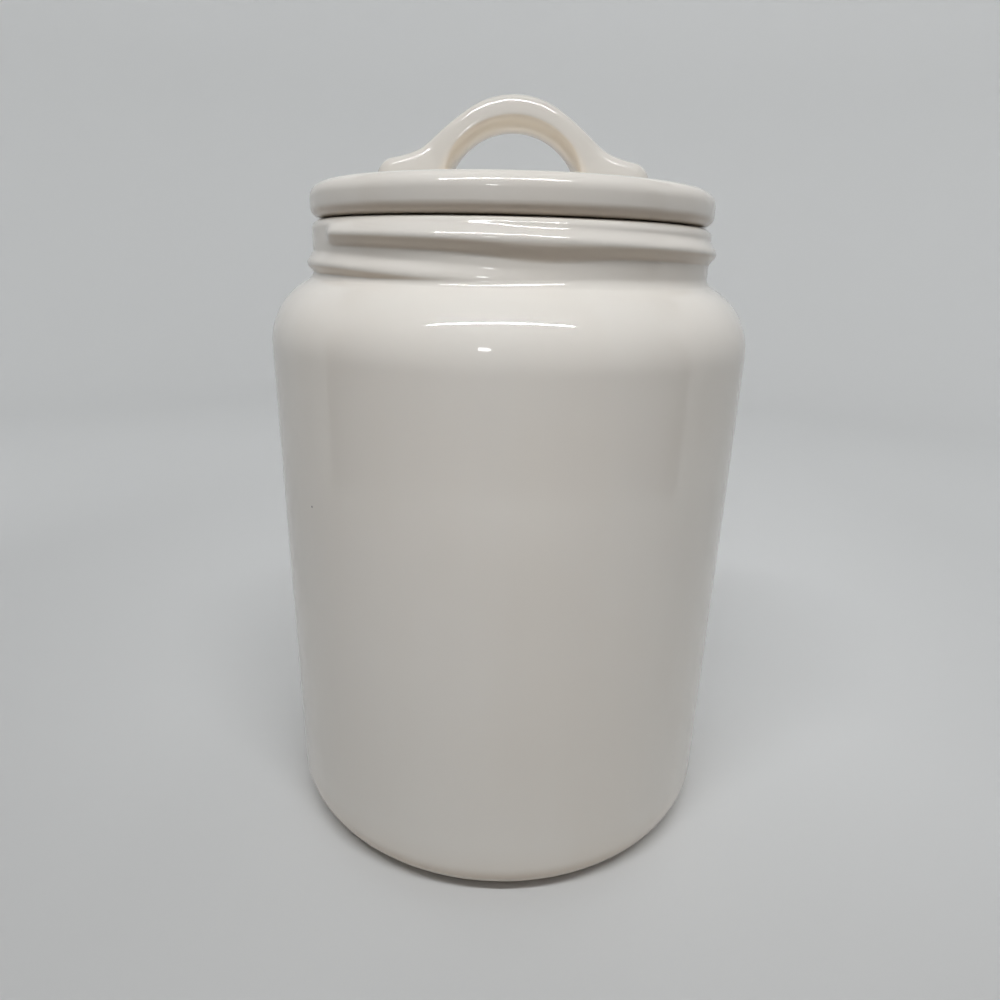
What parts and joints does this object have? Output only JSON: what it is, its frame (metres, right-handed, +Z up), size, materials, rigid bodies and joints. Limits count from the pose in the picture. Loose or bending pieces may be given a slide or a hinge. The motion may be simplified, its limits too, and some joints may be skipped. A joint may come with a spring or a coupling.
{
  "type": "coffee canister",
  "caption": "Glazed ceramic canister shaped like a screw-top jar, with a raised thread ridge round its neck and a sealed lift-off disc lid under a strap handle.",
  "frame": {"origin": "centre of the foot ring's underside, on the table", "axes": "+Z up along the jar's axis, +X along the lid's handle, -Y towards the viewer of the picture"},
  "size_m": [0.14, 0.14, 0.2161],
  "materials": {
    "jar_glaze": "glossy ivory-white glaze, bare clay on the foot ring",
    "lid_glaze": "glossy ivory-white glaze",
    "handle_glaze": "glossy ivory-white glaze",
    "seal_silicone": "satin translucent silicone"
  },
  "bodies": {
    "jar": {"jar": "jar_glaze"},
    "seal": {"seal_ring": "seal_silicone"},
    "lid": {"lid": "lid_glaze", "lid_handle": "handle_glaze"}
  },
  "joints": [
    {"name": "lid_lift", "type": "slide", "parent": "jar", "child": "seal", "axis": [0, 0, 1], "range_m": [0, 0.15]},
    {"name": "lid_turn", "type": "hinge", "parent": "seal", "child": "lid", "pos_m": [0, 0, 0.183], "axis": [0, 0, 1], "continuous": true}
  ]
}
